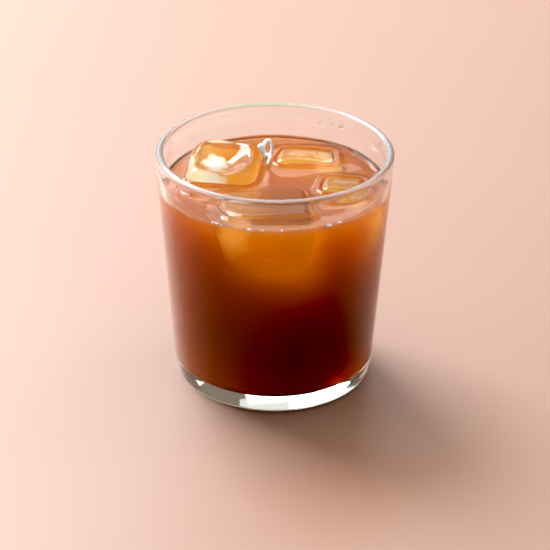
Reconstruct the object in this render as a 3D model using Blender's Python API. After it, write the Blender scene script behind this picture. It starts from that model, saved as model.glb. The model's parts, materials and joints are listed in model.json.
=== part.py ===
"""An iced long black in a plain tapered tumbler.

Metres, +Z up. The origin is the middle of the ring that the tumbler stands on, with the
view that shows the ice best looking along +Y. The glass, the coffee and each ice cube
are separate solids. The cubes float in the coffee, each a little above its level.
"""

import math
from dataclasses import dataclass

import bmesh
import bpy
from mathutils import Matrix, Vector, noise

# The tumbler
RIM_RADIUS = 0.043
HEIGHT = 0.0888
FOOT_RADIUS = 0.0366  # where the straight side would meet the table
RIM_WALL = 0.0022
LIP_WALL = 0.0030  # the lip is a little thicker than the wall under it
LIP_BLEND = 0.0060  # height over which the wall thickens to the lip
FOOT_WALL = 0.0027
FLOOR_HEIGHT = 0.0066
FLOOR_FILLET = 0.0012
FOOT_FILLET = 0.0026
PUNT_RADIUS = 0.0300  # the hollow under the foot, inside the standing ring
PUNT_DEPTH = 0.0004
PUNT_STEPS = 5
TURNS = 72  # facets round everything that is turned
CORNER_STEPS = 6
LIP_STEPS = 8
BLEND_STEPS = 4

# The drink
LEVEL = 0.0757
MENISCUS_RISE = 0.0007
MENISCUS_REACH = 0.0028
MENISCUS_STEPS = 4
GAP = 0.0003  # between the coffee and the glass
ICE_GAP = 0.0004  # between the coffee and the ice

# The ice
ICE_GRID = 7  # facets along a cube's edge
MELT = 0.0010  # how far melting has moved a face in or out
MELT_SCALE = 60.0  # waves of that unevenness, per metre
MELT_SPREAD = 1000.0  # sets the unevenness of one cube apart from the next
DIMPLE_REACH = 0.85  # how much of the top the dimple takes, as a share of its half width
SLOPE = 0.45  # fall of a melted end's shoulder, per length
SLOPE_SOFT = 0.0015  # over which the shoulder rounds into the top
SLOPE_WAY = Vector((-0.863, -0.505, 0.0))  # where such a shoulder faces


@dataclass(frozen=True)
class Cube:
    """One ice cube: its size, where its middle floats, and how it leans, in degrees."""

    name: str
    size: tuple
    middle: tuple
    turn: float
    lean_x: float = 0.0
    lean_y: float = 0.0
    edge: float = 0.0050  # radius of its rounded edges
    narrowing: float = 0.10  # how much smaller it is at the bottom, as the mould made it
    dimple: float = 0.0  # depth of the hollow in its top
    shoulder: float = 0.0  # where its left end starts to slope, from the middle; 0 for none


CUBES = (
    Cube(
        name="ice_back_left",
        size=(0.0275, 0.0310, 0.0270),
        middle=(-0.0181, 0.0112, 0.0677),
        turn=-7.0,
        lean_x=5.0,
        lean_y=-1.5,
        edge=0.0062,
        narrowing=0.14,
        dimple=0.0042,
    ),
    Cube(
        name="ice_back_right",
        size=(0.0300, 0.0215, 0.0250),
        middle=(0.0120, 0.0206, 0.0645),
        turn=-4.0,
        lean_x=-1.0,
        lean_y=2.0,
        edge=0.0072,
    ),
    Cube(
        name="ice_right",
        size=(0.0208, 0.0190, 0.0260),
        middle=(0.0250, -0.0030, 0.0642),
        turn=-8.0,
        lean_x=2.0,
        lean_y=-2.0,
        edge=0.0062,
    ),
    Cube(
        name="ice_front",
        size=(0.0340, 0.0240, 0.0225),
        middle=(-0.0032, -0.0203, 0.0668),
        turn=3.0,
        lean_x=-2.0,
        lean_y=-3.0,
        edge=0.0050,
        narrowing=0.22,
        shoulder=0.0100,
    ),
)

# Each is a colour with its alpha, a roughness and a share of light passed through
GLASS_LOOK = ((0.93, 0.96, 0.95, 1.0), 0.03, 1.0)
COFFEE_LOOK = ((0.20, 0.07, 0.02, 1.0), 0.05, 0.6)
ICE_LOOK = ((0.95, 0.90, 0.82, 1.0), 0.10, 0.9)


def clear_scene():
    """Removes whatever the scene holds."""
    for obj in list(bpy.data.objects):
        bpy.data.objects.remove(obj)


def material(name, look):
    """A Principled material from a colour, a roughness and a transmission."""
    colour, roughness, transmission = look
    made = bpy.data.materials.new(name)
    made.use_nodes = True
    shader = made.node_tree.nodes["Principled BSDF"]
    shader.inputs["Base Color"].default_value = colour
    shader.inputs["Roughness"].default_value = roughness
    shader.inputs["Metallic"].default_value = 0.0
    shader.inputs["Transmission Weight"].default_value = transmission
    return made


def link(name, shape, look):
    """Turns a bmesh into an object of the scene, with one material."""
    mesh = bpy.data.meshes.new(name)
    shape.to_mesh(mesh)
    shape.free()
    mesh.materials.append(look)
    obj = bpy.data.objects.new(name, mesh)
    bpy.context.scene.collection.objects.link(obj)
    return obj


def arc(centre, radius, start, end, steps):
    """Points of a round stretch in the (radius, height) plane, angles in degrees."""
    points = []
    for i in range(steps + 1):
        angle = math.radians(start + (end - start) * i / steps)
        points.append((centre[0] + radius * math.cos(angle), centre[1] + radius * math.sin(angle)))
    return points


def turned(profile):
    """A closed body spun about Z from a profile that runs from axis to axis."""
    shape = bmesh.new()
    verts = [shape.verts.new((max(radius, 0.0), 0.0, height)) for radius, height in profile]
    edges = [shape.edges.new(pair) for pair in zip(verts, verts[1:])]
    bmesh.ops.spin(
        shape,
        geom=verts + edges,
        axis=(0, 0, 1),
        cent=(0, 0, 0),
        steps=TURNS,
        angle=math.tau,
        use_merge=True,
    )
    bmesh.ops.remove_doubles(shape, verts=shape.verts[:], dist=1e-6)
    bmesh.ops.recalc_face_normals(shape, faces=shape.faces[:])
    return shape


def outer_radius(height):
    """The outside of the tapered side at a height."""
    return FOOT_RADIUS + (RIM_RADIUS - FOOT_RADIUS) * height / HEIGHT


def inner_radius(height):
    """The inside of the wall, which thins towards the rim."""
    return outer_radius(height) - (FOOT_WALL + (RIM_WALL - FOOT_WALL) * height / HEIGHT)


def taper():
    """The outer side's lean from the vertical, in degrees."""
    return math.degrees(math.atan((RIM_RADIUS - FOOT_RADIUS) / HEIGHT))


def foot_corner():
    """The rounded outer corner of the foot, from the standing ring up to the side."""
    inwards = FOOT_FILLET * math.tan(math.radians(45 + taper() / 2))
    centre = (FOOT_RADIUS - inwards, FOOT_FILLET)
    return arc(centre, FOOT_FILLET, -90, -taper(), CORNER_STEPS)


def floor_corner(shrink=0.0):
    """The rounded corner between wall and floor, from wall to floor, drawn in by shrink."""
    centre_height = FLOOR_HEIGHT + FLOOR_FILLET
    centre = (inner_radius(centre_height) - FLOOR_FILLET, centre_height)
    return arc(centre, FLOOR_FILLET - shrink, -taper(), -90, CORNER_STEPS)


def lip():
    """The full round of the rim, from outside to inside."""
    radius = LIP_WALL / 2
    centre = (outer_radius(HEIGHT - radius) - radius, HEIGHT - radius)
    return arc(centre, radius, -taper(), 180 - taper(), LIP_STEPS)


def under_lip():
    """The inside of the wall under the lip, down to where the wall has its own thickness."""
    points = []
    for i in range(1, BLEND_STEPS + 1):
        share = i / BLEND_STEPS
        height = HEIGHT - LIP_WALL / 2 - LIP_BLEND * share
        wall = outer_radius(height) - inner_radius(height)
        more = (LIP_WALL - wall) * (1 + math.cos(math.pi * share)) / 2
        points.append((inner_radius(height) - more, height))
    return points


def punt():
    """The shallow hollow under the foot, from the axis out to the standing ring."""
    points = []
    for i in range(PUNT_STEPS + 1):
        share = i / PUNT_STEPS
        points.append((PUNT_RADIUS * share, PUNT_DEPTH * (1 + math.cos(math.pi * share)) / 2))
    return points


def build_glass():
    """The tumbler, in one piece."""
    inside = lip() + under_lip() + floor_corner()
    profile = punt() + foot_corner() + inside + [(0.0, FLOOR_HEIGHT)]
    obj = link("glass", turned(profile), material("glass", GLASS_LOOK))
    obj.data.shade_smooth()
    return obj


def surface_profile():
    """The top of the coffee from the wall to the axis, lifted a little at the wall."""
    edge = inner_radius(LEVEL) - GAP
    points = []
    for i in range(MENISCUS_STEPS):
        share = i / MENISCUS_STEPS
        points.append((edge - MENISCUS_REACH * share, LEVEL + MENISCUS_RISE * (1 - share) ** 3))
    return points + [(edge - MENISCUS_REACH, LEVEL), (0.0, LEVEL)]


def build_coffee(cutters):
    """The coffee up to its level, with a hollow for each cube."""
    floor = [(0.0, FLOOR_HEIGHT + GAP)] + floor_corner(GAP)[::-1]
    obj = link("coffee", turned(floor + surface_profile()), material("coffee", COFFEE_LOOK))
    for cutter in cutters:
        cut = obj.modifiers.new("room for " + cutter.name, "BOOLEAN")
        cut.operation = "DIFFERENCE"
        cut.solver = "EXACT"
        cut.object = cutter
    return obj


def rounded(point, half, edge):
    """Moves a point of a box onto the box with its edges rounded."""
    core = Vector([max(min(c, h - edge), edge - h) for c, h in zip(point, half)])
    away = point - core
    return core + away.normalized() * edge if away.length > 0 else point


def melted(point, half, cube):
    """A surface point after moulding and melting: narrower below, uneven, hollow on top."""
    outwards = Vector([c / h for c, h in zip(point, half)]).normalized()
    wave = noise.noise(point * MELT_SCALE + Vector(cube.middle) * MELT_SPREAD)
    moved = point + outwards * MELT * wave
    width = 1 - cube.narrowing * (1 - point.z / half.z) / 2
    moved.x *= width
    moved.y *= width
    across = math.hypot(point.x / half.x, point.y / half.y) / DIMPLE_REACH
    if point.z > 0 and across < 1:
        moved.z -= cube.dimple * (1 - across * across) ** 1.5
    past = point.dot(SLOPE_WAY) - cube.shoulder
    if cube.shoulder > 0 and point.z > 0 and past > 0:
        moved.z -= SLOPE * past * past / (past + SLOPE_SOFT) * point.z / half.z
    return moved


def ice_shape(cube, grow=0.0):
    """An ice cube's surface about its own middle, larger by grow on every side."""
    half = Vector(cube.size) / 2
    shape = bmesh.new()
    bmesh.ops.create_cube(shape, size=2.0)
    bmesh.ops.subdivide_edges(shape, edges=shape.edges[:], cuts=ICE_GRID - 1, use_grid_fill=True)
    for vert in shape.verts:
        # spread the grid so that more of its lines fall on the rounded edges
        spread = Vector([math.sin(c * math.pi / 2) for c in vert.co])
        point = rounded(Vector([s * h for s, h in zip(spread, half)]), half, cube.edge)
        outwards = Vector([c / h for c, h in zip(point, half)]).normalized()
        vert.co = melted(point, half, cube) + outwards * grow
    return shape


def float_matrix(cube):
    """Where the cube floats and how it leans."""
    turn = Matrix.Rotation(math.radians(cube.turn), 4, "Z")
    lean_y = Matrix.Rotation(math.radians(cube.lean_y), 4, "Y")
    lean_x = Matrix.Rotation(math.radians(cube.lean_x), 4, "X")
    return Matrix.Translation(cube.middle) @ turn @ lean_y @ lean_x


def build_cube(cube, look):
    """One ice cube in its place."""
    obj = link(cube.name, ice_shape(cube), look)
    obj.matrix_world = float_matrix(cube)
    obj.data.shade_smooth()
    return obj


def build_cutter(cube, look):
    """The room that a cube takes up in the coffee: the cube with a small gap all round."""
    obj = link(cube.name + "_room", ice_shape(cube, ICE_GAP), look)
    obj.matrix_world = float_matrix(cube)
    obj.hide_render = True
    obj.display_type = "WIRE"
    return obj


def main():
    """Builds the drink."""
    clear_scene()
    build_glass()
    ice = material("ice", ICE_LOOK)
    build_coffee([build_cutter(cube, ice) for cube in CUBES])
    for cube in CUBES:
        build_cube(cube, ice)


main()
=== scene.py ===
"""The looks of an iced long black: a clear tumbler, the coffee, its melting ice and its bubbles.

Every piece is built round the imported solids, in the same frame, and rides on the one body.
"""

import json
import logging
import math
from collections.abc import Callable
from dataclasses import dataclass
from enum import Enum

import bmesh
import bpy
from mathutils import Matrix, Vector, noise
from mathutils.bvhtree import BVHTree

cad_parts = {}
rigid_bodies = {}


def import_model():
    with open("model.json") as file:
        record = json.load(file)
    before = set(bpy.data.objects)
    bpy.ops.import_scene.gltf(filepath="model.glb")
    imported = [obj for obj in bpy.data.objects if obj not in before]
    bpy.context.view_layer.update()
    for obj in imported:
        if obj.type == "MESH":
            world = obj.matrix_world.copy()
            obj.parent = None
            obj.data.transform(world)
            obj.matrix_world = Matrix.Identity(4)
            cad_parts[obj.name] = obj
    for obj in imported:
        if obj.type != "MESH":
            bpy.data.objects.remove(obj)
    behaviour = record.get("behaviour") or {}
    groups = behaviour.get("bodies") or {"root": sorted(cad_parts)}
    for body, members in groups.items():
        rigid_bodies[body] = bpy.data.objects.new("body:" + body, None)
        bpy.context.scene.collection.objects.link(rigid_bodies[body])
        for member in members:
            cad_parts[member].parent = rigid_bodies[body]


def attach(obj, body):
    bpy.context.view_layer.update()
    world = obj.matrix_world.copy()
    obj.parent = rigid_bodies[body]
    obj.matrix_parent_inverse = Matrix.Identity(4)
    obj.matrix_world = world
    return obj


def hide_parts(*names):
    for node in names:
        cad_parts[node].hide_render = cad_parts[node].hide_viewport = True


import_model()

log = logging.getLogger("iced_long_black")

BODY = "root"
MM = 0.001
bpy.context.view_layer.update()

Point = tuple[float, float]
Triple = tuple[float, float, float]
Colour = tuple[float, float, float, float]

WHITE: Colour = (1.0, 1.0, 1.0, 1.0)
BLACK: Colour = (0.0, 0.0, 0.0, 1.0)
WATER_IOR = 1.333
TURNED_MERGE = 1e-7
CUT_MERGE = 1e-6
FLOOR_SHARES = (0.0, 0.25, 0.5, 0.75)


class Lamps(Enum):
    """Whether lamps shine straight through a clear finish, or only along bent paths."""

    PASS = "pass"
    BLOCKED = "blocked"


class Mark(Enum):
    """What a vertex attribute marks, from 0 to 1, for the finishes to read."""

    WET = "wet"
    PAINTED_LIP_HIGHLIGHT = "lip"
    PAINTED_GREEN = "green"
    INSIDE = "inside"
    WALL_AND_SHADED_TOP = "wall"


class Recipe:
    """A node material under construction."""

    def __init__(self, name: str) -> None:
        """Starts an empty material.

        Args:
            name: the material's name.
        """
        self.material = bpy.data.materials.new(name)
        self.material.use_nodes = True
        self.tree = self.material.node_tree
        self.tree.nodes.clear()
        self.output = self.tree.nodes.new("ShaderNodeOutputMaterial")

    def node(self, kind: str, **values: object) -> bpy.types.Node:
        """Adds a node and sets its inputs, or its properties where it has no such input.

        Args:
            kind: the node's type, without its ShaderNode prefix.
            values: input or property values, with _ for the spaces of an input's name.

        Returns:
            The new node.
        """
        made = self.tree.nodes.new("ShaderNode" + kind)
        for key, value in values.items():
            socket = made.inputs.get(key.replace("_", " "))
            if socket is None:
                setattr(made, key, value)
            else:
                socket.default_value = value
        return made

    def link(self, source: bpy.types.NodeSocket, target: bpy.types.NodeSocket) -> None:
        """Joins an output to an input."""
        self.tree.links.new(source, target)

    def marked(self, mark: Mark) -> bpy.types.NodeSocket:
        """How much of a mark there is at a point, from 0 to 1."""
        return self.node("Attribute", attribute_name=mark.value).outputs["Fac"]

    def noise(self, scale: float, detail: float = 3.0) -> bpy.types.NodeSocket:
        """Adds an uneven pattern fixed to the object.

        Args:
            scale: waves per metre.
            detail: octaves of finer waves.

        Returns:
            The pattern's strength, from 0 to 1.
        """
        made = self.node("TexNoise", Scale=scale, Detail=detail, Roughness=0.5)
        self.link(self.node("TexCoord").outputs["Object"], made.inputs["Vector"])
        return made.outputs["Fac"]

    def spread(
        self, source: bpy.types.NodeSocket, low: float, high: float, reach: Point = (0.3, 0.7)
    ) -> bpy.types.NodeSocket:
        """Maps a pattern onto a range.

        Args:
            source: the pattern.
            low: the value where the pattern is at the start of its reach.
            high: the value at its end.
            reach: the part of the pattern that is used.

        Returns:
            The mapped value.
        """
        made = self.node("MapRange")
        for name, value in zip(("From Min", "From Max", "To Min", "To Max"), (*reach, low, high)):
            made.inputs[name].default_value = value
        self.link(source, made.inputs["Value"])
        return made.outputs["Result"]

    def blend(
        self, first: Colour, second: Colour | bpy.types.NodeSocket, share: bpy.types.NodeSocket
    ) -> bpy.types.NodeSocket:
        """Mixes two colours.

        Args:
            first: the colour where the share is 0.
            second: the colour, or the output that gives it, where the share is 1.
            share: how much of the second colour there is.

        Returns:
            The mixed colour.
        """
        made = self.node("MixRGB", Color1=first)
        if isinstance(second, bpy.types.NodeSocket):
            self.link(second, made.inputs["Color2"])
        else:
            made.inputs["Color2"].default_value = second
        self.link(share, made.inputs["Fac"])
        return made.outputs[0]

    def dull_where(self, mark: Mark, shader: bpy.types.Node) -> None:
        """Takes the gloss off a marked face: fully where it touches liquid and almost nothing is
        mirrored, in part on the coffee's top as painted shade.
        """
        tint = self.blend(WHITE, BLACK, self.marked(mark))
        self.link(tint, shader.inputs["Specular Tint"])

    def relief(self, height: bpy.types.NodeSocket, depth: float, shader: bpy.types.Node) -> None:
        """Gives a shader a fine relief.

        Args:
            height: the pattern.
            depth: the relief's depth in metres.
            shader: the shader that gets it.
        """
        bump = self.node("Bump", Strength=1.0, Distance=depth)
        self.link(height, bump.inputs["Height"])
        self.link(bump.outputs["Normal"], shader.inputs["Normal"])

    def fill(self, kind: str, **values: object) -> None:
        """Fills the inside with a volume shader of a kind and its values."""
        self.link(self.node(kind, **values).outputs[0], self.output.inputs["Volume"])

    def finish(
        self, shader: bpy.types.Node, lamps: Lamps, tint: Colour = WHITE
    ) -> bpy.types.Material:
        """Joins the last shader to the output.

        Args:
            shader: the surface.
            lamps: PASS lets a lamp's rays go straight through, so that what is behind stays lit.
            tint: what a passing lamp's colour is multiplied by at each face.

        Returns:
            The material.
        """
        surface = shader.outputs[0]
        if lamps is Lamps.PASS:
            path = self.node("LightPath")
            through = self.node("BsdfTransparent", Color=tint)
            mix = self.node("MixShader")
            self.link(path.outputs["Is Shadow Ray"], mix.inputs["Fac"])
            self.link(surface, mix.inputs[1])
            self.link(through.outputs[0], mix.inputs[2])
            surface = mix.outputs[0]
        self.link(surface, self.output.inputs["Surface"])
        return self.material


@dataclass(frozen=True)
class ClearGlass:
    """Polished soda glass with a faint green in its depth."""

    ior: float = 1.5
    depth_colour: Colour = (0.72, 0.92, 0.82, 1.0)
    depth_density: float = 5.0
    painted_lip_colour: Colour = (0.96, 0.97, 1.0, 1.0)
    painted_lip_green: Colour = (0.62, 1.0, 0.72, 1.0)
    painted_lip_clearness: float = 0.72
    smear_scale: float = 35.0
    smear_roughness: float = 0.02
    wave_scale: float = 60.0
    wave_depth: float = 0.03 * MM
    shade: Colour = (0.96, 0.97, 0.965, 1.0)

    def make(self) -> bpy.types.Material:
        """Builds the finish: slow waves, a few smears, and painted highlight: a paler, milky lip,
        green at the back.

        Returns:
            The material.
        """
        recipe = Recipe("tumbler_glass")
        shader = recipe.node("BsdfPrincipled", IOR=self.ior)
        recipe.dull_where(Mark.WET, shader)
        # Painted highlight: the marked lip is less clear and paler, so that it shows bright; so is a
        # line just under it at the front.
        lip = recipe.marked(Mark.PAINTED_LIP_HIGHLIGHT)
        clearness = recipe.spread(lip, 1.0, self.painted_lip_clearness, (0.0, 1.0))
        recipe.link(clearness, shader.inputs["Transmission Weight"])
        # Painted highlight: the back of the lip is tinted green.
        rim = recipe.blend(self.painted_lip_colour, self.painted_lip_green, recipe.marked(Mark.PAINTED_GREEN))
        recipe.link(recipe.blend(WHITE, rim, lip), shader.inputs["Base Color"])
        smears = recipe.spread(
            recipe.noise(self.smear_scale, 4.0), 0.0, self.smear_roughness, (0.5, 0.8)
        )
        recipe.link(smears, shader.inputs["Roughness"])
        recipe.relief(recipe.noise(self.wave_scale, 1.0), self.wave_depth, shader)
        recipe.fill("VolumeAbsorption", Color=self.depth_colour, Density=self.depth_density)
        return recipe.finish(shader, Lamps.PASS, self.shade)


@dataclass(frozen=True)
class CoffeeFinish:
    """Clear dark coffee: orange where it is thin, nearly black brown where it is deep."""

    haze: Colour = (0.82, 0.47, 0.27, 1.0)
    haze_share: float = 0.03
    softness: float = 0.05
    absorb_density: float = 400.0
    absorb_colour: Colour = (0.92, 0.735, 0.1, 1.0)

    def make(self) -> bpy.types.Material:
        """Builds the finish: a light brown haze on the outside and absorption within.

        Returns:
            The material.
        """
        recipe = Recipe("dark_coffee")
        shader = recipe.node("BsdfPrincipled", IOR=WATER_IOR, Roughness=self.softness)
        # At the glass almost nothing is mirrored; on the top, part of the reflection is taken away as
        # painted shade.
        recipe.dull_where(Mark.WALL_AND_SHADED_TOP, shader)
        clear = recipe.marked(Mark.INSIDE)
        recipe.link(recipe.blend(self.haze, WHITE, clear), shader.inputs["Base Color"])
        clearness = recipe.spread(clear, 1.0 - self.haze_share, 1.0, (0.0, 1.0))
        recipe.link(clearness, shader.inputs["Transmission Weight"])
        recipe.fill("VolumeAbsorption", Color=self.absorb_colour, Density=self.absorb_density)
        return recipe.finish(shader, Lamps.PASS)


@dataclass(frozen=True)
class Haze:
    """Light scattered within a piece: fine grounds, trapped air, and the ice's amber haze, which is
    painted light.
    """

    name: str
    colour: Colour
    density: float
    forward: float = 0.0

    def make(self) -> bpy.types.Material:
        """Builds the finish: light scattered within, and no surface.

        Returns:
            The material.
        """
        recipe = Recipe(self.name)
        recipe.fill(
            "VolumeScatter", Color=self.colour, Density=self.density, Anisotropy=self.forward
        )
        return recipe.material


@dataclass(frozen=True)
class ClearIce:
    """Wet ice, smooth where it has melted, with fine pits."""

    ior: float = 1.31
    colour: Colour = (1.0, 0.995, 0.985, 1.0)
    pit_scale: float = 260.0
    pit_roughness: float = 0.10
    grain_scale: float = 420.0
    grain_depth: float = 0.06 * MM
    shade: Colour = (0.98, 0.98, 0.98, 1.0)

    def make(self) -> bpy.types.Material:
        """Builds the finish.

        Returns:
            The material.
        """
        recipe = Recipe("melting_ice")
        shader = recipe.node(
            "BsdfPrincipled", Base_Color=self.colour, IOR=self.ior, Transmission_Weight=1.0
        )
        pits = recipe.spread(
            recipe.noise(self.pit_scale), 0.0, self.pit_roughness, (0.45, 0.75)
        )
        recipe.link(pits, shader.inputs["Roughness"])
        recipe.relief(recipe.noise(self.grain_scale, 2.0), self.grain_depth, shader)
        return recipe.finish(shader, Lamps.PASS, self.shade)


@dataclass(frozen=True)
class WaterFilm:
    """Clear water, for drops."""

    roughest: float = 0.03
    grain_scale: float = 300.0

    def make(self) -> bpy.types.Material:
        """Builds the finish, with the slight unevenness of a thin film.

        Returns:
            The material.
        """
        recipe = Recipe("water_film")
        shader = recipe.node(
            "BsdfPrincipled", Base_Color=WHITE, IOR=WATER_IOR, Transmission_Weight=1.0
        )
        uneven = recipe.spread(recipe.noise(self.grain_scale), 0.0, self.roughest)
        recipe.link(uneven, shader.inputs["Roughness"])
        return recipe.finish(shader, Lamps.PASS)


@dataclass(frozen=True)
class Froth:
    """The finest bubbles packed together, white all through; on the looped bubble that white is
    painted highlight.
    """

    colour: Colour = (1.0, 0.99, 0.97, 1.0)
    depth: float = 3.0 * MM
    grain_scale: float = 500.0
    smoothest: float = 0.1
    roughest: float = 0.35

    def make(self) -> bpy.types.Material:
        """Builds the finish: light carried through from the far side, and an uneven gloss.

        Returns:
            The material.
        """
        recipe = Recipe("froth_and_painted_highlight")
        shader = recipe.node("BsdfPrincipled", Base_Color=self.colour, Subsurface_Weight=1.0)
        shader.inputs["Subsurface Radius"].default_value = (1.0, 1.0, 1.0)
        shader.inputs["Subsurface Scale"].default_value = self.depth
        uneven = recipe.spread(recipe.noise(self.grain_scale), self.smoothest, self.roughest)
        recipe.link(uneven, shader.inputs["Roughness"])
        return recipe.finish(shader, Lamps.PASS)


@dataclass(frozen=True)
class PaleFloor:
    """A plain pale floor with the faintest mottle."""

    colour: Colour = (0.425, 0.262, 0.207, 1.0)
    mottle: Colour = (0.445, 0.278, 0.222, 1.0)
    mottle_scale: float = 6.0
    roughness: float = 0.45
    ior: float = 1.45

    def make(self) -> bpy.types.Material:
        """Builds the finish.

        Returns:
            The material.
        """
        recipe = Recipe("floor")
        shader = recipe.node("BsdfPrincipled", Roughness=self.roughness, IOR=self.ior)
        colour = recipe.blend(self.colour, self.mottle, recipe.noise(self.mottle_scale, 2.0))
        recipe.link(colour, shader.inputs["Base Color"])
        return recipe.finish(shader, Lamps.BLOCKED)


def add_piece(
    name: str, shape: bmesh.types.BMesh, finish: bpy.types.Material
) -> bpy.types.Object:
    """Turns a bmesh into a smooth piece that rides on the drink.

    Args:
        name: the piece's name.
        shape: its mesh, in the row's frame. It is freed.
        finish: its material.

    Returns:
        The new object.
    """
    mesh = bpy.data.meshes.new(name)
    shape.to_mesh(mesh)
    shape.free()
    mesh.materials.append(finish)
    mesh.shade_smooth()
    obj = bpy.data.objects.new(name, mesh)
    bpy.context.scene.collection.objects.link(obj)
    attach(obj, BODY)
    log.info("%s: %d faces", name, len(mesh.polygons))
    return obj


def bell(value: float, middle: float, width: float) -> float:
    """A smooth peak: 1 at the middle, and about a third a width away."""
    return math.exp(-(((value - middle) / width) ** 2))


def arc(centre: Point, radius: float, start: float, end: float, steps: int) -> list[Point]:
    """Gives the points of a round stretch of a turned profile.

    Args:
        centre: the arc's middle, as (radius, height).
        radius: the arc's radius.
        start: its first angle in degrees, from the outward direction.
        end: its last angle.
        steps: how many stretches it is made of.

    Returns:
        The points, as (radius, height).
    """
    points = []
    for i in range(steps + 1):
        angle = math.radians(start + (end - start) * i / steps)
        points.append((centre[0] + radius * math.cos(angle), centre[1] + radius * math.sin(angle)))
    return points


def turned(profile: list[Point], turns: int) -> bmesh.types.BMesh:
    """Spins a profile that runs from axis to axis into a closed body.

    Args:
        profile: its points, as (radius, height).
        turns: how many facets go round.

    Returns:
        The body, with its normals outwards.
    """
    shape = bmesh.new()
    verts = [shape.verts.new((max(radius, 0.0), 0.0, height)) for radius, height in profile]
    edges = [shape.edges.new(pair) for pair in zip(verts, verts[1:])]
    bmesh.ops.spin(
        shape, geom=verts + edges, axis=(0, 0, 1), cent=(0, 0, 0), steps=turns, angle=math.tau,
        use_merge=True,
    )
    bmesh.ops.remove_doubles(shape, verts=shape.verts[:], dist=TURNED_MERGE)
    bmesh.ops.recalc_face_normals(shape, faces=shape.faces[:])
    return shape


def add_ball(shape: bmesh.types.BMesh, middle: Vector, size: Vector) -> None:
    """Adds one small round bubble or drop to a mesh.

    Args:
        shape: the mesh that it joins.
        middle: its place.
        size: its half sizes.
    """
    made = bmesh.ops.create_uvsphere(shape, u_segments=20, v_segments=12, radius=1.0)
    place = Matrix.Translation(middle) @ Matrix.Diagonal((*size, 1.0))
    bmesh.ops.transform(shape, matrix=place, verts=made["verts"])


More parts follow.
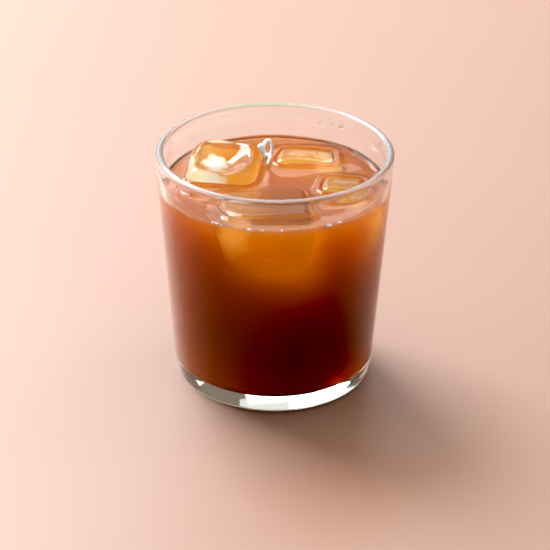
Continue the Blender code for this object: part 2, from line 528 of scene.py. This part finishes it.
@dataclass
class Tumbler:
    """The glass: a straight tapered side, a full-round lip, a thick floor and a standing ring."""

    rim_radius: float = 42.99 * MM
    height: float = 88.79 * MM
    foot_radius: float = 36.6 * MM
    rim_wall: float = 2.2 * MM
    lip_wall: float = 3.0 * MM
    lip_blend: float = 6.0 * MM
    foot_wall: float = 2.7 * MM
    floor_height: float = 6.6 * MM
    floor_fillet: float = 1.2 * MM
    foot_fillet: float = 2.6 * MM
    punt_radius: float = 30.0 * MM
    punt_depth: float = 0.4 * MM
    painted_lip_band: float = 0.7 * MM
    painted_glint_depth: float = 1.9 * MM
    painted_glint_width: float = 0.35 * MM
    painted_green_middle: float = -6.0
    painted_green_spread: float = 24.0
    turns: int = 256
    corner_steps: int = 24
    side_steps: int = 40
    under_lip_steps: int = 16
    inside_steps: int = 120

    def outer_radius(self, height: float) -> float:
        """The outside of the side at a height."""
        return self.foot_radius + (self.rim_radius - self.foot_radius) * height / self.height

    def inner_radius(self, height: float) -> float:
        """The inside of the wall at a height."""
        share = height / self.height
        return self.outer_radius(height) - (self.foot_wall + (self.rim_wall - self.foot_wall) * share)

    def lined_radius(self, height: float) -> float:
        """Gives the inside of the wall, which thickens to the lip near its top.

        Args:
            height: the height above the foot.

        Returns:
            The radius there.
        """
        share = (self.height - self.lip_wall / 2 - height) / self.lip_blend
        wall = self.outer_radius(height) - self.inner_radius(height)
        more = (self.lip_wall - wall) * (1 + math.cos(math.pi * min(max(share, 0.0), 1.0))) / 2
        return self.inner_radius(height) - more

    def taper(self) -> float:
        """The side's lean from the vertical, in degrees."""
        return math.degrees(math.atan((self.rim_radius - self.foot_radius) / self.height))

    def foot_corner(self) -> list[Point]:
        """Gives the rounded outer corner of the foot.

        Returns:
            Its points, from the foot to the side.
        """
        inwards = self.foot_fillet * math.tan(math.radians(45 + self.taper() / 2))
        centre = (self.foot_radius - inwards, self.foot_fillet)
        return arc(centre, self.foot_fillet, -90, -self.taper(), self.corner_steps)

    def floor_corner(self, grow: float = 0.0) -> list[Point]:
        """Gives the rounded inner corner, from the wall to the floor.

        Args:
            grow: how far the corner is pushed out into the glass.

        Returns:
            The corner's points.
        """
        middle = self.floor_height + self.floor_fillet
        centre = (self.inner_radius(middle) - self.floor_fillet, middle)
        return arc(centre, self.floor_fillet + grow, -self.taper(), -90, self.corner_steps)

    def lip(self) -> list[Point]:
        """Gives the full round of the rim.

        Returns:
            Its points, from outside to inside.
        """
        radius = self.lip_wall / 2
        centre = (self.outer_radius(self.height - radius) - radius, self.height - radius)
        return arc(centre, radius, -self.taper(), 180 - self.taper(), self.corner_steps)

    def punt(self) -> list[Point]:
        """Gives the shallow hollow under the foot.

        Returns:
            Its points, from the axis outwards.
        """
        points = []
        for i in range(self.corner_steps + 1):
            share = i / self.corner_steps
            depth = self.punt_depth * (1 + math.cos(math.pi * share)) / 2
            points.append((self.punt_radius * share, depth))
        return points

    def side(
        self, radius_at: Callable[[float], float], start: float, end: float, steps: int
    ) -> list[Point]:
        """Gives the points up or down one side of the wall, without its two ends.

        Args:
            radius_at: the radius at each height.
            start: the height where it starts.
            end: the height where it ends.
            steps: how many stretches it is made of.

        Returns:
            The points.
        """
        heights = [start + (end - start) * i / steps for i in range(1, steps)]
        return [(radius_at(height), height) for height in heights]

    def profile(self) -> list[Point]:
        """Gives the glass's section, from the axis under the foot to the axis on the floor.

        Returns:
            The section's points.
        """
        foot, lip, corner = self.foot_corner(), self.lip(), self.floor_corner()
        under_lip, top = lip[0][1] - self.lip_wall, lip[0][1]
        outside = self.side(self.outer_radius, foot[-1][1], under_lip, self.side_steps)
        outside += self.side(self.outer_radius, under_lip, top, self.under_lip_steps)
        inside = self.side(self.lined_radius, lip[-1][1], corner[0][1], self.inside_steps)
        floor = [(corner[-1][0] * share, self.floor_height) for share in reversed(FLOOR_SHARES)]
        return self.punt() + foot + outside + lip + inside + corner + floor

    def mark(self, shape: bmesh.types.BMesh, level: float) -> None:
        """Marks where the drink wets the glass, the painted highlight on the lip and on a line under
        it at the front, and the painted green at the lip's back.

        Args:
            shape: the turned glass.
            level: how high the drink wets its inside.
        """
        wet = shape.verts.layers.float.new(Mark.WET.value)
        edge = shape.verts.layers.float.new(Mark.PAINTED_LIP_HIGHLIGHT.value)
        green = shape.verts.layers.float.new(Mark.PAINTED_GREEN.value)
        for vert in shape.verts:
            x, y, height = vert.co
            middle = self.inner_radius(height) + self.rim_wall / 2
            inner = math.hypot(x, y) < middle and height > self.floor_height / 2
            vert[wet] = 1.0 if inner and height < level else 0.0
            # Painted highlight: the lip's top band, and a bright line just under the lip that fades
            # out towards the back.
            painted_glint = bell(height, self.height - self.painted_glint_depth, self.painted_glint_width)
            front = min(max(-y / self.rim_radius * 2, 0.0), 1.0)
            vert[edge] = 1.0 if height > self.height - self.painted_lip_band else painted_glint * front
            # Painted highlight: green at the lip's back, round a given azimuth.
            azimuth = math.degrees(math.atan2(x, y))
            vert[green] = bell(azimuth, self.painted_green_middle, self.painted_green_spread)

    def build(self, finish: bpy.types.Material, level: float) -> None:
        """Builds the tumbler in one piece, which stands for the solid of the same form.

        Args:
            finish: its glass.
            level: how high the drink wets its inside.
        """
        shape = turned(self.profile(), self.turns)
        self.mark(shape, level)
        piece = add_piece("tumbler", shape, finish)
        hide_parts("glass")


@dataclass(frozen=True)
class IceCube:
    """One ice cube: where its middle floats, how it leans in degrees, and what melting did to it.

    The cloud's middle and size are shares of the cube's half sizes.
    """

    name: str
    size: Triple
    middle: Triple
    turn: float
    lean_x: float
    lean_y: float
    edge: float = 5.0 * MM
    narrowing: float = 0.10
    dimple: float = 0.0
    dimple_reach: float = 0.85
    dimple_power: float = 1.5
    melt: float = 1.0 * MM
    melt_scale: float = 60.0
    melt_spread: float = 1000.0
    fine_scale: float = 4.0
    fine_share: float = 0.16
    shoulder: float = 0.0
    slope: float = 0.45
    slope_soft: float = 1.5 * MM
    slope_way: Triple = (-0.863, -0.505, 0.0)
    cloud_middle: Triple = (0.0, 0.0, 0.0)
    cloud_size: Triple = (0.5, 0.5, 0.5)
    cloud_lumps: float = 0.35
    cloud_lump_scale: float = 1.7
    cloud_density: float = 90.0
    cloud_colour: Colour = (1.0, 0.98, 0.95, 1.0)
    # Painted light: an amber haze in the ice, the colour of light that has come through the coffee.
    painted_amber_light: float = 10.0
    painted_amber_colour: Colour = (1.0, 0.62, 0.18, 1.0)
    painted_amber_inset: float = 1.2 * MM
    grid: int = 36

    def half(self) -> Vector:
        """Half the cube's size."""
        return Vector(self.size) / 2

    def seed(self) -> Vector:
        """Where this cube's waves are taken from, so that no two cubes are alike."""
        return Vector(self.middle) * self.melt_spread

    def placing(self) -> Matrix:
        """Gives where the cube floats and how it leans.

        Returns:
            The matrix from the cube's own axes to the row's frame.
        """
        turn = Matrix.Rotation(math.radians(self.turn), 4, "Z")
        lean_y = Matrix.Rotation(math.radians(self.lean_y), 4, "Y")
        lean_x = Matrix.Rotation(math.radians(self.lean_x), 4, "X")
        return Matrix.Translation(self.middle) @ turn @ lean_y @ lean_x

    def rounded(self, point: Vector) -> Vector:
        """Moves a point of the box onto the box with rounded edges.

        Args:
            point: the point on the sharp box.

        Returns:
            The moved point.
        """
        core = Vector([max(min(c, h - self.edge), self.edge - h) for c, h in zip(point, self.half())])
        away = point - core
        return core + away.normalized() * self.edge if away.length > 0 else point

    def melted(self, point: Vector, outwards: Vector) -> Vector:
        """Moves a surface point as moulding and melting did.

        Args:
            point: the point on the rounded box.
            outwards: the direction away from the cube's middle.

        Returns:
            The moved point, with the waves, the narrower bottom, the dimple and fine relief.
        """
        half, seed = self.half(), self.seed()
        wave = noise.noise(point * self.melt_scale + seed)
        moved = point + outwards * self.melt * wave
        width = 1 - self.narrowing * (1 - point.z / half.z) / 2
        moved.x *= width
        moved.y *= width
        across = math.hypot(point.x / half.x, point.y / half.y) / self.dimple_reach
        if point.z > 0 and across < 1:
            moved.z -= self.dimple * (1 - across * across) ** self.dimple_power
        past = point.dot(Vector(self.slope_way)) - self.shoulder
        if self.shoulder > 0 and point.z > 0 and past > 0:
            moved.z -= self.slope * past * past / (past + self.slope_soft) * point.z / half.z
        fine = noise.noise(point * self.melt_scale * self.fine_scale + seed)
        return moved + outwards * self.melt * self.fine_share * fine

    def shape(self, grow: float, grid: int) -> bmesh.types.BMesh:
        """Builds the cube's surface in its place.

        Args:
            grow: how much larger it is on every side.
            grid: facets along an edge.

        Returns:
            The closed surface.
        """
        half = self.half()
        shape = bmesh.new()
        bmesh.ops.create_cube(shape, size=2.0)
        bmesh.ops.subdivide_edges(shape, edges=shape.edges[:], cuts=grid - 1, use_grid_fill=True)
        for vert in shape.verts:
            spread = Vector([math.sin(c * math.pi / 2) * h for c, h in zip(vert.co, half)])
            point = self.rounded(spread)
            outwards = Vector([c / h for c, h in zip(point, half)]).normalized()
            vert.co = self.melted(point, outwards) + outwards * grow
        bmesh.ops.transform(shape, matrix=self.placing(), verts=shape.verts[:])
        bmesh.ops.recalc_face_normals(shape, faces=shape.faces[:])
        return shape

    def cloud(self) -> bmesh.types.BMesh:
        """Builds the lumpy milky heart, in its place inside the cube.

        Returns:
            The closed surface.
        """
        shape = bmesh.new()
        bmesh.ops.create_icosphere(shape, subdivisions=4, radius=1.0)
        axes = list(zip(self.cloud_middle, self.cloud_size, self.half()))
        for vert in shape.verts:
            wave = noise.noise(vert.co * self.cloud_lump_scale + self.seed())
            lump = 1 + self.cloud_lumps * wave
            vert.co = Vector([(m + c * s * lump) * h for c, (m, s, h) in zip(vert.co, axes)])
        bmesh.ops.transform(shape, matrix=self.placing(), verts=shape.verts[:])
        return shape

    def build(self, clear: bpy.types.Material) -> None:
        """Builds the cube, its cloudy heart and round it an amber haze of painted light.

        Args:
            clear: the finish of the cube, which stands for the solid of the same form.
        """
        piece = add_piece(self.name + "_melting", self.shape(0.0, self.grid), clear)
        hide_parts(self.name)
        cloudy = Haze(self.name + "_cloud", self.cloud_colour, self.cloud_density).make()
        add_piece(self.name + "_heart", self.cloud(), cloudy)
        # Painted light: the amber haze fills the cube, just within its surface.
        amber = Haze(self.name + "_amber", self.painted_amber_colour, self.painted_amber_light).make()
        add_piece(self.name + "_glow", self.shape(-self.painted_amber_inset, self.grid // 2), amber)


@dataclass
class Coffee:
    """The drink: up to its level, with a rim of meniscus at the wall and round the ice."""

    tumbler: Tumbler
    level: float = 75.7 * MM
    overlap: float = 0.03 * MM
    ice_overlap: float = 0.05 * MM
    meniscus_rise: float = 0.7 * MM
    meniscus_reach: float = 2.8 * MM
    ice_rise: float = 1.2 * MM
    ice_reach: float = 1.8 * MM
    ripple: float = 0.12 * MM
    ripple_scale: float = 90.0
    # Painted shade: the share of the top's reflection that is taken away.
    painted_top_shade: float = 0.6
    wall_depth: float = 0.1 * MM
    flat_within: float = 0.001 * MM
    rings: int = 70

    def profile(self, overlap: float) -> list[Point]:
        """Gives the outside of the drink from the axis under it to the axis on top.

        Args:
            overlap: how far it reaches into the glass.

        Returns:
            The profile's points.
        """
        glass = self.tumbler
        corner = glass.floor_corner(overlap)[::-1]
        bottom = [(corner[0][0] * share, corner[0][1]) for share in FLOOR_SHARES]
        edge = glass.inner_radius(self.level) + overlap
        wall = glass.side(
            lambda z: glass.inner_radius(z) + overlap, corner[-1][1], self.level, glass.side_steps
        )
        top = [(edge * (1 - i / self.rings), self.level) for i in range(self.rings + 1)]
        return bottom + corner + wall + top

    def lift(self, point: Vector, trees: list[BVHTree]) -> float:
        """Gives how far the surface stands above the level at a point.

        Args:
            point: the point, on the level.
            trees: the ice cubes' surfaces.

        Returns:
            The height above the level.
        """
        wall = self.tumbler.inner_radius(self.level) - math.hypot(point.x, point.y)
        share = max(0.0, 1 - max(wall, 0.0) / self.meniscus_reach)
        near = min(tree.find_nearest(point)[3] for tree in trees)
        climb = self.ice_rise * math.exp(-near / self.ice_reach)
        wave = self.ripple * noise.noise(point * self.ripple_scale)
        return self.meniscus_rise * share ** 3 + climb + wave

    def body(self, cubes: list[IceCube], overlap: float) -> bpy.types.Object:
        """Builds the drink before the ice is cut out of it.

        Args:
            cubes: the ice, which the surface climbs a little.
            overlap: how far the drink reaches into the glass.

        Returns:
            The body, not yet in the scene.
        """
        shape = turned(self.profile(overlap), self.tumbler.turns)
        trees = []
        for cube in cubes:
            ice = cube.shape(0.0, cube.grid)
            trees.append(BVHTree.FromBMesh(ice))
            ice.free()
        for vert in shape.verts:
            if abs(vert.co.z - self.level) < self.flat_within:
                vert.co.z += self.lift(vert.co.copy(), trees) + min(overlap, 0.0)
        mesh = bpy.data.meshes.new("coffee_body")
        shape.to_mesh(mesh)
        shape.free()
        return bpy.data.objects.new("coffee_body", mesh)

    def cut(self, cubes: list[IceCube], overlap: float, ice_overlap: float) -> bmesh.types.BMesh:
        """Builds the drink with a room cut in it for each cube.

        Args:
            cubes: the ice.
            overlap: how far the drink reaches into the glass.
            ice_overlap: how far it reaches into the ice.

        Returns:
            The cut drink.
        """
        body = self.body(cubes, overlap)
        objects = bpy.context.scene.collection.objects
        objects.link(body)
        cutters = []
        for cube in cubes:
            room = cube.shape(-ice_overlap, cube.grid)
            mesh = bpy.data.meshes.new("room")
            room.to_mesh(mesh)
            room.free()
            cutter = bpy.data.objects.new("room", mesh)
            objects.link(cutter)
            cutters.append(cutter)
            cutting = body.modifiers.new("room", "BOOLEAN")
            cutting.operation = "DIFFERENCE"
            cutting.solver = "EXACT"
            cutting.object = cutter
        graph = bpy.context.evaluated_depsgraph_get()
        shape = bmesh.new()
        shape.from_mesh(bpy.data.meshes.new_from_object(body.evaluated_get(graph)))
        for obj in (body, *cutters):
            bpy.data.objects.remove(obj)
        bmesh.ops.remove_doubles(shape, verts=shape.verts[:], dist=CUT_MERGE)
        return shape

    def mark(self, shape: bmesh.types.BMesh) -> None:
        """Marks the faces at the glass and the faces inside, where the coffee shows no haze, and the
        top, whose reflection painted shade dims.

        Args:
            shape: the cut drink.
        """
        inside = shape.verts.layers.float.new(Mark.INSIDE.value)
        outside = shape.verts.layers.float.new(Mark.WALL_AND_SHADED_TOP.value)
        glass = self.tumbler
        for vert in shape.verts:
            depth = glass.inner_radius(vert.co.z) - math.hypot(vert.co.x, vert.co.y)
            on_floor = vert.co.z - glass.floor_height < glass.floor_fillet / 2
            at_wall = depth < self.wall_depth or on_floor
            on_top = vert.co.z > self.level - self.ripple
            # Painted shade: the top mirrors less than water does.
            vert[outside] = self.painted_top_shade if on_top else float(at_wall)
            vert[inside] = float(on_floor or not (at_wall or on_top))

    def build(self, cubes: list[IceCube], finish: bpy.types.Material) -> None:
        """Builds the drink round the ice, which stands for the solid of the same form.

        Args:
            cubes: the ice in it.
            finish: its material.
        """
        shape = self.cut(cubes, self.overlap, self.ice_overlap)
        self.mark(shape)
        piece = add_piece("coffee_drink", shape, finish)
        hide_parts("coffee")

    def build_grounds(self, cubes: list[IceCube], finish: bpy.types.Material) -> None:
        """Builds the body of fine grounds just within the drink."""
        shape = self.cut(cubes, -self.overlap, -self.ice_overlap)
        add_piece("coffee_fine_grounds", shape, finish)


@dataclass
class SurfaceBubbles:
    """Small bubbles where the coffee meets the glass, and drops on the inside of the wall.

    The line holds the bubbles' angles from the front, in degrees, and the sizes are their radii in
    mm, used in turn. A drop is its angle from the front, its height and its radius in mm.
    """

    tumbler: Tumbler
    level: float
    line: tuple[float, ...] = (
        -32.0, -30.4, -29.0, -27.2, -12.6, -11.7, -5.7, 3.9, 27.6, 29.0, 33.6, 34.9,
    )
    sizes: tuple[float, ...] = (0.5, 0.4, 0.55, 0.35, 0.5, 0.3, 0.4)
    drops: tuple[Triple, ...] = (
        (154.6, 83.5, 0.75),
        (141.6, 84.2, 0.85),
        (148.0, 83.9, 0.45),
        (152.0, 80.9, 0.35),
    )
    inset: float = 0.6 * MM
    lift: float = 0.75 * MM
    bubble_squash: float = 0.8
    drop_inset: float = 0.05
    drop_stretch: float = 1.3

    def bubbles(self) -> bmesh.types.BMesh:
        """Builds the bubbles along the front contact line.

        Returns:
            The bubbles in one mesh.
        """
        shape = bmesh.new()
        radius = self.tumbler.inner_radius(self.level) - self.inset
        for i, angle in enumerate(self.line):
            size = self.sizes[i % len(self.sizes)]
            turn = math.radians(angle - 90)
            middle = Vector(
                (radius * math.cos(turn), radius * math.sin(turn), self.level + self.lift)
            )
            add_ball(shape, middle, Vector((size, size, size * self.bubble_squash)) * MM)
        return shape

    def wall_drops(self) -> bmesh.types.BMesh:
        """Builds the drops at the back of the wall.

        Returns:
            The drops in one mesh.
        """
        shape = bmesh.new()
        for angle, height, size in self.drops:
            turn = math.radians(angle - 90)
            radius = self.tumbler.inner_radius(height * MM) - (size + self.drop_inset) * MM
            middle = Vector((radius * math.cos(turn), radius * math.sin(turn), height * MM))
            add_ball(shape, middle, Vector((size, size, size * self.drop_stretch)) * MM)
        return shape

    def build(self, finish: bpy.types.Material, clear: bpy.types.Material) -> None:
        """Builds the bubbles of one finish and the drops of another."""
        add_piece("contact_bubbles", self.bubbles(), finish)
        add_piece("wall_drops", self.wall_drops(), clear)


@dataclass
class PaintedHighlightBubble:
    """The looped bubble between the two back cubes, white all through as painted highlight: a white
    blob, a loop and a tail, in mm.
    """

    middle: Triple = (-2.7, 21.6, 79.2)
    half_width: float = 1.55
    half_length: float = 2.9
    way: Triple = (0.0, 0.6, 0.8)
    start: float = -60.0
    sweep: float = 330.0
    loop_radius: float = 0.6
    loop_growth: float = 0.35
    tail: tuple[Triple, ...] = ((-2.6, 11.6, 77.3), (-2.3, 14.0, 77.4), (-1.8, 17.0, 77.6))
    tail_radius: float = 0.45
    tail_growth: float = 0.10
    pole_share: float = 0.8
    section_way: Triple = (0.35, -0.8, 0.6)
    blob_offset: Triple = (-2.3, -1.8, 0.0)
    blob_size: Triple = (1.7, 1.4, 2.7)
    blob_lumps: float = 0.3
    blob_lump_scale: float = 1.4
    steps: int = 40
    sides: int = 14

    def path(self) -> list[tuple[Vector, float]]:
        """Gives the rope's middle line from the tip of the tail round the loop.

        Returns:
            Its points, each with the rope's radius there.
        """
        points = [
            (Vector(point), self.tail_radius + self.tail_growth * i)
            for i, point in enumerate(self.tail)
        ]
        for i in range(self.steps + 1):
            angle = math.radians(self.start + self.sweep * i / self.steps)
            across = Vector((1.0, 0.0, 0.0)) * self.half_width * math.cos(angle)
            along = Vector(self.way) * self.half_length * math.sin(angle)
            radius = self.loop_radius + self.loop_growth * (i / self.steps) ** 2
            points.append((Vector(self.middle) + across + along, radius))
        return points

    def rope(self) -> bmesh.types.BMesh:
        """Sweeps a round section along the path, closed by a pole at each end.

        Returns:
            The closed surface.
        """
        shape = bmesh.new()
        path = self.path()
        rings = []
        for i, (point, radius) in enumerate(path):
            following, previous = path[min(i + 1, len(path) - 1)], path[max(i - 1, 0)]
            ahead = (following[0] - previous[0]).normalized()
            first = ahead.cross(Vector(self.section_way)).normalized()
            second = ahead.cross(first)
            ring = []
            for k in range(self.sides):
                turn = math.tau * k / self.sides
                offset = (first * math.cos(turn) + second * math.sin(turn)) * radius
                ring.append(shape.verts.new((point + offset) * MM))
            rings.append(ring)
        for ring, following in zip(rings, rings[1:]):
            for k in range(self.sides):
                after = (k + 1) % self.sides
                shape.faces.new((ring[k], ring[after], following[after], following[k]))
        for ring, end, step in ((rings[0], path[0], path[1]), (rings[-1], path[-1], path[-2])):
            outwards = (end[0] - step[0]).normalized()
            pole = shape.verts.new((end[0] + outwards * end[1] * self.pole_share) * MM)
            for k in range(self.sides):
                shape.faces.new((ring[k], ring[(k + 1) % self.sides], pole))
        bmesh.ops.recalc_face_normals(shape, faces=shape.faces[:])
        return shape

    def blob(self) -> bmesh.types.BMesh:
        """Builds the uneven white blob on the loop's left, part of the painted highlight.

        Returns:
            The closed surface.
        """
        shape = bmesh.new()
        bmesh.ops.create_icosphere(shape, subdivisions=4, radius=1.0)
        middle = Vector(self.middle) + Vector(self.blob_offset)
        for vert in shape.verts:
            lump = 1 + self.blob_lumps * noise.noise(vert.co * self.blob_lump_scale)
            reach = Vector([c * s for c, s in zip(vert.co, self.blob_size)])
            vert.co = (middle + reach * lump) * MM
        return shape

    def build(self, finish: bpy.types.Material) -> None:
        """Builds the loop and the blob of one finish, whose white is painted highlight."""
        add_piece("painted_highlight_loop", self.rope(), finish)
        add_piece("painted_highlight_blob", self.blob(), finish)


@dataclass(frozen=True)
class Lamp:
    """A soft rectangular lamp that looks at the drink.

    Its azimuth is in degrees to the right of straight behind the drink, its height in degrees above
    the floor, its distance and its size in metres and its power in watts.
    """

    name: str
    azimuth: float
    height: float
    distance: float
    size: Point
    power: float
    colour: Triple
    aim: float = 45 * MM

    def hang(self) -> None:
        """Puts the lamp in the scene."""
        light = bpy.data.lights.new(self.name, "AREA")
        light.shape = "RECTANGLE"
        light.size, light.size_y = self.size
        light.energy = self.power
        light.color = self.colour
        turn, rise = math.radians(self.azimuth), math.radians(self.height)
        level = math.cos(rise)
        away = Vector((math.sin(turn) * level, math.cos(turn) * level, math.sin(rise)))
        obj = bpy.data.objects.new(self.name, light)
        obj.location = away * self.distance + Vector((0, 0, self.aim))
        obj.rotation_euler = away.to_track_quat("Z", "Y").to_euler()
        bpy.context.scene.collection.objects.link(obj)


@dataclass
class Studio:
    """The floor, the lamps and the camera."""

    lamps: tuple[Lamp, ...] = (
        Lamp("key", -38.0, 44.0, 1.5, (0.8, 0.6), 30.0, (0.92, 0.97, 1.0)),
        Lamp("window", -20.0, 39.0, 2.2, (2.2, 0.72), 13.5, (0.90, 0.95, 1.0)),
        Lamp("window_low", -31.0, 21.0, 2.2, (1.75, 0.74), 8.0, (0.87, 0.94, 1.0)),
        Lamp("window_dim", 1.5, 21.0, 2.2, (0.88, 0.62), 1.1, (0.96, 0.97, 1.0)),
        Lamp("left", -85.0, 28.0, 2.4, (1.4, 1.0), 6.0, (0.85, 0.93, 1.0)),
        Lamp("right", 60.0, 45.0, 1.8, (0.8, 0.5), 3.5, (1.0, 0.86, 0.72)),
        Lamp("above", 0.0, 88.0, 1.0, (1.0, 1.0), 4.0, (1.0, 0.88, 0.78)),
    )
    sky: Colour = (1.0, 0.86, 0.75, 1.0)
    sky_strength: float = 0.2
    camera_place: Triple = (0.41 * MM, -650.6 * MM, 389.5 * MM)
    camera_pitch: float = 28.41
    camera_roll: float = 0.52
    lens: float = 130.9
    sensor: float = 36.0
    floor_size: float = 3.0
    darkest: float = 0.02
    brightest: float = 0.85

    def floor(self, finish: bpy.types.Material) -> None:
        """Lays the floor at the height of the foot.

        Args:
            finish: its material.
        """
        shape = bmesh.new()
        bmesh.ops.create_circle(shape, cap_ends=True, segments=64, radius=self.floor_size)
        mesh = bpy.data.meshes.new("floor")
        shape.to_mesh(mesh)
        shape.free()
        mesh.materials.append(finish)
        obj = bpy.data.objects.new("floor", mesh)
        bpy.context.scene.collection.objects.link(obj)

    def lights(self) -> None:
        """Hangs the lamps and sets the even light of the room."""
        for lamp in self.lamps:
            lamp.hang()
        world = bpy.data.worlds.new("soft_room")
        world.use_nodes = True
        sky = world.node_tree.nodes["Background"]
        sky.inputs["Color"].default_value = self.sky
        sky.inputs["Strength"].default_value = self.sky_strength
        bpy.context.scene.world = world

    def camera(self) -> None:
        """Sets the camera at the photograph's place."""
        data = bpy.data.cameras.new("camera")
        data.sensor_width = self.sensor
        data.lens = self.lens
        obj = bpy.data.objects.new("camera", data)
        roll = Matrix.Rotation(math.radians(self.camera_roll), 4, "Z")
        tilt = Matrix.Rotation(math.radians(90 - self.camera_pitch), 4, "X")
        obj.matrix_world = Matrix.Translation(self.camera_place) @ tilt @ roll
        bpy.context.scene.collection.objects.link(obj)
        bpy.context.scene.camera = obj

    def picture(self) -> None:
        """Sets how light paths and tones are handled."""
        scene = bpy.context.scene
        scene.cycles.max_bounces = 32
        scene.cycles.transmission_bounces = 32
        scene.cycles.transparent_max_bounces = 64
        scene.cycles.diffuse_bounces = 4
        scene.cycles.volume_bounces = 3
        scene.cycles.glossy_bounces = 8
        scene.cycles.caustics_refractive = False
        scene.cycles.caustics_reflective = False
        scene.view_settings.view_transform = "Standard"
        scene.view_settings.use_curve_mapping = True
        tones = scene.view_settings.curve_mapping
        tones.black_level = (self.darkest,) * 3
        tones.white_level = (self.brightest,) * 3
        tones.update()


def ice_cubes() -> list[IceCube]:
    """Describes the four cubes that the drink shows.

    Returns:
        The cubes, in the order of the solids.
    """
    return [
        IceCube(
            name="ice_back_left",
            size=(27.5 * MM, 31.0 * MM, 27.0 * MM),
            middle=(-18.1 * MM, 11.2 * MM, 67.7 * MM),
            turn=-7.0,
            lean_x=5.0,
            lean_y=-1.5,
            edge=6.2 * MM,
            narrowing=0.14,
            dimple=4.2 * MM,
            cloud_middle=(-0.42, 0.38, 0.06),
            cloud_size=(0.42, 0.5, 0.45),
            cloud_density=220.0,
        ),
        IceCube(
            name="ice_back_right",
            size=(30.0 * MM, 21.5 * MM, 25.0 * MM),
            middle=(12.0 * MM, 20.6 * MM, 64.5 * MM),
            turn=-4.0,
            lean_x=-1.0,
            lean_y=2.0,
            edge=7.2 * MM,
            painted_amber_light=26.0,
            cloud_middle=(0.5, 0.0, 0.25),
            cloud_size=(0.3, 0.5, 0.4),
        ),
        IceCube(
            name="ice_right",
            size=(20.8 * MM, 19.0 * MM, 26.0 * MM),
            middle=(25.0 * MM, -3.0 * MM, 64.2 * MM),
            turn=-8.0,
            lean_x=2.0,
            lean_y=-2.0,
            edge=6.2 * MM,
            painted_amber_light=18.0,
            cloud_middle=(0.52, -0.15, -0.2),
            cloud_size=(0.34, 0.5, 0.5),
            cloud_density=200.0,
        ),
        IceCube(
            name="ice_front",
            size=(34.0 * MM, 24.0 * MM, 22.5 * MM),
            middle=(-3.2 * MM, -20.3 * MM, 66.8 * MM),
            turn=3.0,
            lean_x=-2.0,
            lean_y=-3.0,
            narrowing=0.22,
            shoulder=10.0 * MM,
            painted_amber_light=5.0,
            cloud_middle=(-0.55, -0.1, -0.1),
            cloud_size=(0.3, 0.5, 0.45),
        ),
    ]


def main() -> None:
    """Builds the drink and its studio."""
    logging.basicConfig(level=logging.INFO, format="%(message)s")
    tumbler = Tumbler()
    drink = Coffee(tumbler)
    tumbler.build(ClearGlass().make(), drink.level)
    cubes = ice_cubes()
    clear = ClearIce().make()
    for cube in cubes:
        cube.build(clear)
    drink.build(cubes, CoffeeFinish().make())
    grounds = Haze("fine_grounds", (1.0, 0.80, 0.5, 1.0), density=64.0, forward=0.15)
    drink.build_grounds(cubes, grounds.make())
    froth_and_painted_highlight = Froth().make()
    SurfaceBubbles(tumbler, drink.level).build(froth_and_painted_highlight, WaterFilm().make())
    # Painted highlight: the white finish makes the looped bubble show as a bright highlight.
    PaintedHighlightBubble().build(froth_and_painted_highlight)
    studio = Studio()
    studio.floor(PaleFloor().make())
    studio.lights()
    studio.camera()
    studio.picture()


if __name__ == "__main__":
    main()
